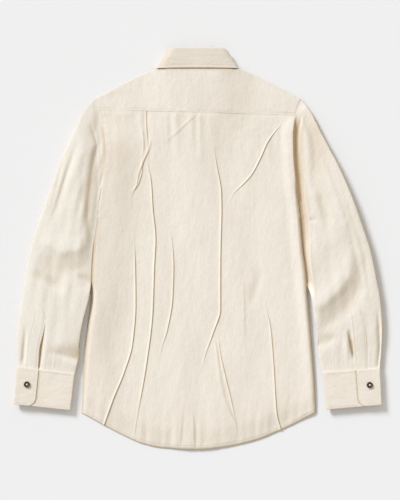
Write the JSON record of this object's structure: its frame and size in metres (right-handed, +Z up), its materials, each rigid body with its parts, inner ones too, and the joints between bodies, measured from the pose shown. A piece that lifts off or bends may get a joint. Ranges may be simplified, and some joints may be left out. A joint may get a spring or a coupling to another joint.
{
  "type": "pleated shirt",
  "caption": "Long-sleeved cream cotton shirt with irregular pressed pleats down the back, laid flat on its front, collar and cuffs buttoned.",
  "frame": {"origin": "on the surface the shirt lies on, below the middle of its outline", "axes": "+Z up from the floor through the back of the shirt, +Y from the hem to the collar, +X to the sleeve on the right when seen from above"},
  "size_m": [0.7354, 0.8022, 0.0184],
  "materials": {
    "shirt_cloth": "undyed cream cotton, plain weave with faint slubs, matt",
    "button": "dark brown horn-like resin, softly polished"
  },
  "bodies": {
    "root": {"back_panel": "shirt_cloth", "yoke": "shirt_cloth", "front_left": "shirt_cloth", "front_right": "shirt_cloth", "front_placket": "shirt_cloth", "sleeve_left": "shirt_cloth", "sleeve_right": "shirt_cloth", "sleeve_placket_left": "shirt_cloth", "sleeve_placket_right": "shirt_cloth", "cuff_left": "shirt_cloth", "cuff_right": "shirt_cloth", "collar_stand": "shirt_cloth", "collar_leaf": "shirt_cloth", "cuff_button_left": "button", "cuff_button_right": "button", "collar_button": "button", "front_button_1": "button", "front_button_2": "button", "front_button_3": "button", "front_button_4": "button", "front_button_5": "button", "front_button_6": "button", "front_button_7": "button"}
  },
  "joints": []
}
